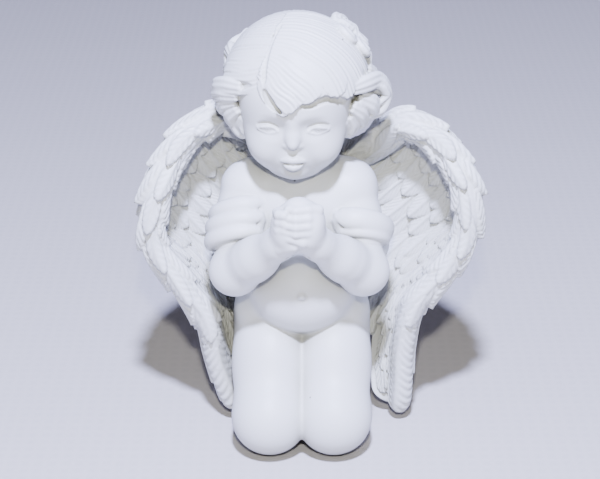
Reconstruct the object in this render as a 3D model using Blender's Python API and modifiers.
"""Kneeling cherub figurine in cast resin.

Five castings are bonded over steel dowels: the kneeling body, the head, the clasped arms and two wings.
Four felt pads under the legs carry it. The figure faces -Y with +Z up, and the origin is the middle of the
base of its bounding box. Sizes below are in millimetres; at() and MM turn them into Blender's metres.
"""

import math

import bmesh
import bpy
from mathutils import Matrix, Vector

MM = 0.001

# Driving dimensions, in millimetres
FIGURE_X, FIGURE_Y = -2.3, 2.8  # the figure's own axis, from the middle of the bounding box
GLUE_GAP = 0.3  # between any two pieces that meet
PAD_RADIUS, PAD_THICKNESS = 4.5, 1.0
PAD_X, KNEE_PAD_BEHIND, SHIN_PAD_AHEAD = 9.4, 2.0, 5.0  # where the pads sit against the knees and ankles
DOWEL_RADIUS = 1.0
NECK_DOWEL_RADIUS = 1.5
DOWEL_SEGMENTS = 20

# Joints of the kneeling pose: the side at +X, mirrored for the other
HIP = (8.8, -1.0, 32.0)
KNEE = (8.9, -22.0, 11.3)
ANKLE = (9.8, 17.0, 7.2)
TOE = (8.6, 27.5, 5.2)
SHOULDER = (15.2, -1.0, 71.5)
ELBOW = (17.2, -16.0, 52.5)
WRIST = (4.8, -28.0, 66.5)
HANDS = (0.0, -31.5, 73.6)
NECK = (0.0, -0.5, 84.5)
NECK_RADIUS = 6.6
HEAD = (-1.0, -3.5, 100.8)

# Each wing is a sheet folded from its front margin round a corner to its inner margin, and the rows run from
# root to tip. The front margins differ: the right wing is folded closer. Given for a wing at +X.
WING_FRONT = {
    "left_wing": (
        (13, 13, 78), (19.5, 10.5, 84), (27.5, 6, 87.2), (35.6, 2, 85.2), (42, -4, 79.2), (45.2, -7, 71),
        (45, -8, 60), (39.8, -8, 49.5), (31.4, -8, 38.5), (28.8, -7, 26), (28.6, -6, 13.5), (28.6, -5, 3.5),
    ),
    "right_wing": (
        (13, 13, 78), (17, 10, 85), (23, 7, 88.6), (31, 2, 85), (37.4, -4, 77), (40.6, -7, 67.5),
        (40.6, -8, 57), (33.2, -8, 45), (26.6, -7.5, 33), (24.4, -6.5, 21.5), (21.6, -6, 11.5), (18.8, -5, 4.5),
    ),
}  # fmt: skip
WING_CORNER = (
    (12, 16, 79), (20, 19, 84.5), (31, 21, 86), (43, 21, 82.5), (50.5, 19, 75), (53, 17, 66.5),
    (52, 15, 56), (44.5, 12, 46), (35, 8, 34), (31, 4, 22), (29.8, 1, 13), (29.2, -1.5, 4.5),
)  # fmt: skip
WING_BACK = (
    (9, 15.5, 77), (8.5, 17, 74), (8.5, 18, 70), (9, 18.5, 65), (10, 19, 58), (12, 19, 50),
    (16, 17.5, 41), (20, 14, 32), (23, 9.5, 23), (24.4, 5.5, 15), (25.8, 1.5, 10), (27, -2, 5.5),
)  # fmt: skip
FOLDED_SHARES = (0.89, 0.78)  # width of the right wing against the left's, at its root and at its tip
WING_RIM_THICKNESS, WING_SHEET_THICKNESS = 6.4, 3.0
WING_SEAT = (9.5, 10.2, 71.0)  # middle of the flat face where a wing meets the back
WING_SEAT_RADII = (6.5, 7.0, 11.5)
WING_DOWEL_HEIGHTS = {"upper": 76.0, "lower": 66.5}
WING_DOWEL_LENGTH = 10.0

RESIN = ("cast_resin", (0.82, 0.82, 0.84), 0.55, 0.0)
STEEL = ("dowel_steel", (0.55, 0.56, 0.58), 0.35, 1.0)
FELT = ("pad_felt", (0.74, 0.73, 0.70), 0.95, 0.0)


def at(x, y, z):
    """A point given on the figure's own axis, in the object's frame and in metres."""
    return Vector((x + FIGURE_X, y + FIGURE_Y, z)) * MM


def mirrored(point):
    return (-point[0], point[1], point[2])


def between(start, end, share):
    return tuple(a + (b - a) * share for a, b in zip(start, end))


# --- scene, materials and collections -------------------------------------------------------------------


def clear_scene():
    for obj in list(bpy.data.objects):
        bpy.data.objects.remove(obj, do_unlink=True)


def new_collection(name):
    collection = bpy.data.collections.new(name)
    bpy.context.scene.collection.children.link(collection)
    return collection


def principled(name, colour, roughness, metallic):
    material = bpy.data.materials.new(name)
    material.use_nodes = True
    shader = material.node_tree.nodes["Principled BSDF"]
    shader.inputs["Base Color"].default_value = (*colour, 1.0)
    shader.inputs["Roughness"].default_value = roughness
    shader.inputs["Metallic"].default_value = metallic
    return material


def new_object(name, shape, collection):
    """An object from a bmesh, which is freed."""
    for face in shape.faces:
        face.smooth = len(face.verts) <= 4
    mesh = bpy.data.meshes.new(name)
    shape.to_mesh(mesh)
    shape.free()
    obj = bpy.data.objects.new(name, mesh)
    collection.objects.link(obj)
    return obj


# --- primitives that the castings are blended from ------------------------------------------------------


def add_ball(shape, centre, radii, turn=Matrix.Identity(4)):
    size = Matrix.Diagonal((*(r * MM for r in radii), 1.0))
    bmesh.ops.create_uvsphere(
        shape, u_segments=24, v_segments=16, radius=1.0, matrix=Matrix.Translation(at(*centre)) @ turn @ size
    )


def add_rod(shape, start, end, start_radius, end_radius, segments=24):
    """A capped cone or cylinder from one point to the other, both in metres."""
    axis = end - start
    turn = axis.to_track_quat("Z", "Y").to_matrix().to_4x4()
    bmesh.ops.create_cone(
        shape,
        cap_ends=True,
        segments=segments,
        radius1=start_radius * MM,
        radius2=end_radius * MM,
        depth=axis.length,
        matrix=Matrix.Translation((start + end) / 2) @ turn,
    )


def add_limb(shape, start, end, start_radius, end_radius):
    add_rod(shape, at(*start), at(*end), start_radius, end_radius)
    add_ball(shape, start, (start_radius,) * 3)
    add_ball(shape, end, (end_radius,) * 3)


def add_pair(add, shape, *points_and_radii):
    """The same piece on both sides of the figure: tuples of three are points or radii, and only the first flips."""
    add(shape, *points_and_radii)
    flipped = [mirrored(points_and_radii[0])]
    for value in points_and_radii[1:]:
        is_point = isinstance(value, tuple) and add is add_limb
        flipped.append(mirrored(value) if is_point else value)
    add(shape, *flipped)


# --- modifiers ------------------------------------------------------------------------------------------


def melt(obj, voxel, smoothing, triangles):
    """Blends the overlapping shapes of obj into one skin of about that many triangles."""
    remesh = obj.modifiers.new("one_skin", "REMESH")
    remesh.mode = "VOXEL"
    remesh.voxel_size = voxel * MM
    remesh.use_smooth_shade = True
    smooth = obj.modifiers.new("soft_joins", "SMOOTH")
    smooth.factor = 0.5
    smooth.iterations = smoothing
    bpy.context.view_layer.update()
    evaluated = obj.evaluated_get(bpy.context.evaluated_depsgraph_get()).to_mesh()
    evaluated.calc_loop_triangles()
    thin = obj.modifiers.new("fewer_faces", "DECIMATE")
    thin.ratio = min(1.0, triangles / len(evaluated.loop_triangles))


def boolean(obj, other, operation):
    modifier = obj.modifiers.new(f"{operation.lower()}_{other.name}", "BOOLEAN")
    modifier.operation = operation
    modifier.solver = "EXACT"
    modifier.object = other


def helper(name, shape, collection):
    """A cutter or another shape that is only used by a Boolean."""
    obj = new_object(name, shape, collection)
    obj.hide_render = True
    obj.display_type = "WIRE"
    return obj


def box_helper(name, lowest, highest, collection):
    shape = bmesh.new()
    size = Vector(highest) - Vector(lowest)
    middle = (Vector(highest) + Vector(lowest)) / 2
    matrix = Matrix.Translation(at(*middle)) @ Matrix.Diagonal((*(size * MM), 1.0))
    bmesh.ops.create_cube(shape, size=1.0, matrix=matrix)
    return helper(name, shape, collection)


def rod_helper(name, start, end, radius, collection, end_radius=None):
    shape = bmesh.new()
    add_rod(shape, start, end, radius, end_radius or radius, DOWEL_SEGMENTS)
    return helper(name, shape, collection)


# --- dowels and pads ------------------------------------------------------------------------------------


def dowel(name, start, end, radius, collection, material):
    """A chamfered steel pin between two points, in metres."""
    shape = bmesh.new()
    add_rod(shape, start, end, radius, radius, DOWEL_SEGMENTS)
    obj = new_object(name, shape, collection)
    bevel = obj.modifiers.new("chamfer", "BEVEL")
    bevel.width = 0.25 * MM
    bevel.segments = 1
    bevel.limit_method = "ANGLE"
    obj.data.materials.append(material)
    return obj


def felt_pad(name, x, y, collection, material):
    shape = bmesh.new()
    foot = at(x, y, 0.0)
    add_rod(shape, foot, foot + Vector((0, 0, PAD_THICKNESS * MM)), PAD_RADIUS, PAD_RADIUS, DOWEL_SEGMENTS)
    obj = new_object(name, shape, collection)
    obj.data.materials.append(material)
    return obj


def arm_joint(side):
    """(top, joint, bottom) of an arm dowel in metres, along the upper arm, and the arm's direction."""
    shoulder, elbow = (
        (SHOULDER, ELBOW) if side > 0 else (mirrored(SHOULDER), mirrored(ELBOW))
    )
    joint = at(*between(shoulder, elbow, 0.52))
    along = (at(*elbow) - at(*shoulder)).normalized()
    return joint - along * 5.5 * MM, joint, joint + along * 5.5 * MM, along


# --- castings -------------------------------------------------------------------------------------------


def body_casting(name, collection):
    shape = bmesh.new()
    add_pair(add_limb, shape, HIP, KNEE, 10.8, 10.2)
    add_pair(add_limb, shape, KNEE, ANKLE, 9.6, 6.2)
    add_pair(add_limb, shape, ANKLE, TOE, 5.2, 4.0)
    add_pair(add_ball, shape, (8.6, 8.5, 26.0), (10.6, 10.4, 11.0))
    add_ball(shape, (0, 0.5, 36.0), (18.2, 13.6, 12.0))
    add_ball(shape, (0, -7.6, 44.0), (14.6, 13.0, 12.8))
    add_ball(shape, (0, -1.5, 56.0), (15.0, 11.6, 18.0))
    add_ball(shape, (0, -1.0, 70.0), (16.6, 10.6, 11.0))
    add_limb(shape, (-11.5, 0.0, 72.0), (11.5, 0.0, 72.0), 7.2, 7.2)
    add_limb(shape, (0, 0.5, 74.0), NECK, 8.2, NECK_RADIUS)
    upper_arm_end = between(SHOULDER, ELBOW, 0.6)
    add_pair(add_limb, shape, SHOULDER, upper_arm_end, 7.0, 6.2)
    # rolled sleeves of the drape round both upper arms, and its swag across the back
    add_pair(add_limb, shape, (10.5, -9.5, 61.5), (20.5, -9.0, 62.5), 4.0, 5.2)
    add_pair(add_limb, shape, (20.5, -8.0, 62.5), (17.0, 3.5, 64.0), 5.2, 5.0)
    add_limb(shape, (-17.0, 3.5, 64.0), (17.0, 3.5, 64.0), 4.6, 4.6)
    add_limb(shape, (0, 8.5, 60.0), (0, 10.0, 40.0), 4.0, 6.0)
    # bosses on the shoulder blades, which carry the wings
    add_pair(add_ball, shape, (9.5, 4.0, 71.0), (6.6, 8.0, 10.5))
    return new_object(name, shape, collection)


def head_casting(name, collection):
    """Face, cheeks and chin under a mop of hair with a swept fringe and curls round the sides and the nape."""
    shape = bmesh.new()
    x, y, z = HEAD
    add_ball(shape, (x, y + 1.5, z + 1.0), (18.6, 19.6, 18.2))
    add_ball(shape, (x, y - 8.6, z - 7.4), (13.4, 11.6, 11.4))
    add_ball(shape, (x, y - 13.8, z - 14.0), (7.6, 6.4, 5.6))
    add_ball(shape, (x, y - 20.6, z - 11.2), (2.4, 2.6, 2.2))
    for side in (-1, 1):
        add_ball(shape, (x + side * 8.6, y - 11.0, z - 12.0), (6.4, 7.6, 6.0))
        add_ball(shape, (x + side * 18.2, y - 3.0, z - 2.5), (5.4, 7.6, 6.4))
        add_ball(shape, (x + side * 16.4, y + 5.0, z - 8.0), (5.4, 7.0, 5.6))
        add_ball(shape, (x + side * 16.0, y - 6.0, z + 6.0), (5.6, 7.6, 6.0))
        add_ball(shape, (x + side * 7.5, y + 15.0, z - 7.5), (7.0, 5.6, 6.0))
    fringe = ((5.0, -8.0, 11.0), (8.0, -13.0, 7.0), (4.0, -17.0, 5.8), (-0.8, -20.2, 2.8))
    for start, end, radius in zip(fringe, fringe[1:], (5.4, 4.8, 3.8)):
        start, end = (tuple(a + b for a, b in zip(HEAD, offset)) for offset in (start, end))
        add_limb(shape, start, end, radius, radius - 1.2)
    return new_object(name, shape, collection)


def arms_casting(name, collection):
    shape = bmesh.new()
    for flip in (tuple, mirrored):
        cuff = flip(between(SHOULDER, ELBOW, 0.5))
        elbow, wrist = flip(ELBOW), flip(WRIST)
        add_limb(shape, cuff, elbow, 5.6, 6.4)
        add_limb(shape, elbow, between(elbow, wrist, 0.45), 6.4, 6.0)
        add_limb(shape, between(elbow, wrist, 0.45), wrist, 6.0, 4.4)
        add_ball(shape, flip((3.4, -30.5, 72.5)), (3.9, 5.0, 7.0))
    add_ball(shape, HANDS, (6.4, 5.4, 6.6))
    return new_object(name, shape, collection)


def curve_point(points, share):
    """A point of the smooth Catmull-Rom curve through points; share runs from 0 to 1."""
    place = min(share, 0.999999) * (len(points) - 1)
    i, u = int(place), place - int(place)
    p0, p1, p2, p3 = (
        Vector(points[min(max(k, 0), len(points) - 1)]) for k in range(i - 1, i + 3)
    )
    return 0.5 * (
        2 * p1 + (p2 - p0) * u + (2 * p0 - 5 * p1 + 4 * p2 - p3) * u * u + (3 * p1 - p0 - 3 * p2 + p3) * u**3
    )


def wing_point(label, share_along, share_across):
    """A point of a wing's sheet, for the wing at +X."""
    front, corner, back = (
        curve_point(points, share_along) for points in (WING_FRONT[label], WING_CORNER, WING_BACK)
    )
    if label == "right_wing":
        at_root, at_tip = FOLDED_SHARES
        folded = at_root + (at_tip - at_root) * share_along**6
        corner.x *= folded
        back.x *= folded
    u = share_across
    return front * (1 - u) ** 2 + corner * 2 * u * (1 - u) + back * u**2


def wing_casting(label, side, collection, helpers):
    """A thick-rimmed sheet joined to the boss that sits on the back."""
    rows, columns = 30, 14
    shape = bmesh.new()
    grid = []
    for i in range(rows + 1):
        line = []
        for j in range(columns + 1):
            x, y, z = wing_point(label, i / rows, j / columns)
            line.append(shape.verts.new(at(side * x, y, z)))
        grid.append(line)
    for i in range(rows):
        for j in range(columns):
            corners = (grid[i][j], grid[i + 1][j], grid[i + 1][j + 1], grid[i][j + 1])
            shape.faces.new(corners if side > 0 else corners[::-1])
    wing = new_object(f"{label}_casting", shape, collection)
    rim = wing.vertex_groups.new(name="rim")
    least = WING_SHEET_THICKNESS / WING_RIM_THICKNESS
    for i in range(rows + 1):
        for j in range(columns + 1):
            thickness = max(1 - 3.2 * j / columns, 0) * (1 - 0.6 * i / rows)
            rim.add([i * (columns + 1) + j], least + (1 - least) * thickness, "REPLACE")
    solidify = wing.modifiers.new("sheet", "SOLIDIFY")
    solidify.thickness = WING_RIM_THICKNESS * MM
    solidify.offset = 0.0
    solidify.vertex_group = rim.name
    boss = bmesh.new()
    x, y, z = WING_SEAT
    add_ball(boss, (side * x, y + 3.4, z), WING_SEAT_RADII)
    boolean(wing, helper(f"{label}_boss", boss, helpers), "UNION")
    return wing


# --- assembly -------------------------------------------------------------------------------------------


def cut_base(body, cutters):
    floor = box_helper("floor_cutter", (-60, -60, -30), (60, 60, PAD_THICKNESS + GLUE_GAP), cutters)
    boolean(body, floor, "DIFFERENCE")


def join_head(body, head, collection, cutters, steel):
    """A round neck stub that enters the head, with a dowel on its axis."""
    x, y, z = NECK
    top = box_helper("neck_top_cutter", (-20, -20, z + 3.0), (20, 20, z + 30), cutters)
    boolean(body, top, "DIFFERENCE")
    socket = rod_helper(
        "neck_socket_cutter", at(x, y, z - 30), at(x, y, z + 3.0 + GLUE_GAP), NECK_RADIUS + 1.2, cutters
    )
    boolean(head, socket, "DIFFERENCE")
    ends = at(x, y, z - 5.0), at(x, y, z + 11.0)
    bore = rod_helper(
        "neck_bore_cutter",
        ends[0] - Vector((0, 0, GLUE_GAP * MM)),
        ends[1] + Vector((0, 0, GLUE_GAP * MM)),
        NECK_DOWEL_RADIUS + GLUE_GAP,
        cutters,
    )
    boolean(body, bore, "DIFFERENCE")
    boolean(head, bore, "DIFFERENCE")
    dowel("neck_dowel", *ends, NECK_DOWEL_RADIUS, collection, steel)


def join_arms(body, arms, collection, cutters, steel):
    """Flat butt joints inside the sleeves, each with a dowel along the upper arm."""
    for side, label in ((1, "left"), (-1, "right")):
        top, joint, bottom, along = arm_joint(side)
        above = rod_helper(
            f"{label}_arm_top_cutter", joint + along * GLUE_GAP / 2 * MM, joint - along * 30 * MM, 9.0, cutters
        )
        boolean(arms, above, "DIFFERENCE")
        below = rod_helper(
            f"{label}_sleeve_cutter", joint - along * GLUE_GAP / 2 * MM, joint + along * 30 * MM, 7.6, cutters
        )
        boolean(body, below, "DIFFERENCE")
        clearance = along * GLUE_GAP * MM
        bore = rod_helper(
            f"{label}_arm_bore_cutter", top - clearance, bottom + clearance, DOWEL_RADIUS + GLUE_GAP, cutters
        )
        boolean(body, bore, "DIFFERENCE")
        boolean(arms, bore, "DIFFERENCE")
        dowel(f"{label}_arm_dowel", top, bottom, DOWEL_RADIUS, collection, steel)


def join_wing(body, wing, side, label, collection, cutters, steel):
    """A flat seat on the shoulder blade with two dowels across it."""
    x, y, z = WING_SEAT
    half = GLUE_GAP / 2
    low_x, high_x = sorted((side * 2.0, side * 20.0))
    behind = box_helper(f"{label}_seat_cutter", (low_x, y - half, z - 15), (high_x, y + 12, z + 15), cutters)
    boolean(body, behind, "DIFFERENCE")
    low_x, high_x = sorted((-side * 1.0, side * 24.0))
    ahead = box_helper(f"{label}_root_cutter", (low_x, y - 12, z - 15), (high_x, y + half, z + 15), cutters)
    boolean(wing, ahead, "DIFFERENCE")
    for place, height in WING_DOWEL_HEIGHTS.items():
        reach = WING_DOWEL_LENGTH / 2
        ends = at(side * x, y - reach, height), at(side * x, y + reach, height)
        clearance = Vector((0, GLUE_GAP * MM, 0))
        bore = rod_helper(
            f"{label}_{place}_bore_cutter",
            ends[0] - clearance,
            ends[1] + clearance,
            DOWEL_RADIUS + GLUE_GAP,
            cutters,
        )
        boolean(body, bore, "DIFFERENCE")
        boolean(wing, bore, "DIFFERENCE")
        dowel(f"{label}_{place}_dowel", *ends, DOWEL_RADIUS, collection, steel)


def main():
    clear_scene()
    figurine = new_collection("cherub_figurine")
    cutters = new_collection("cutters")
    resin, steel, felt = (principled(*look) for look in (RESIN, STEEL, FELT))

    body = body_casting("body_casting", figurine)
    melt(body, 0.9, 8, 2600)
    head = head_casting("head_casting", figurine)
    melt(head, 0.9, 8, 1700)
    arms = arms_casting("clasped_arms_casting", figurine)
    melt(arms, 0.7, 6, 1200)
    for casting in (body, head, arms):
        casting.data.materials.append(resin)

    cut_base(body, cutters)
    join_head(body, head, figurine, cutters, steel)
    join_arms(body, arms, figurine, cutters, steel)
    for side, label in ((1, "left_wing"), (-1, "right_wing")):
        wing = wing_casting(label, side, figurine, cutters)
        melt(wing, 0.8, 3, 1500)
        wing.data.materials.append(resin)
        join_wing(body, wing, side, label, figurine, cutters, steel)

    for side, label in ((1, "left"), (-1, "right")):
        felt_pad(f"{label}_knee_pad", side * PAD_X, KNEE[1] + KNEE_PAD_BEHIND, figurine, felt)
        felt_pad(f"{label}_shin_pad", side * PAD_X, ANKLE[1] - SHIN_PAD_AHEAD, figurine, felt)


main()
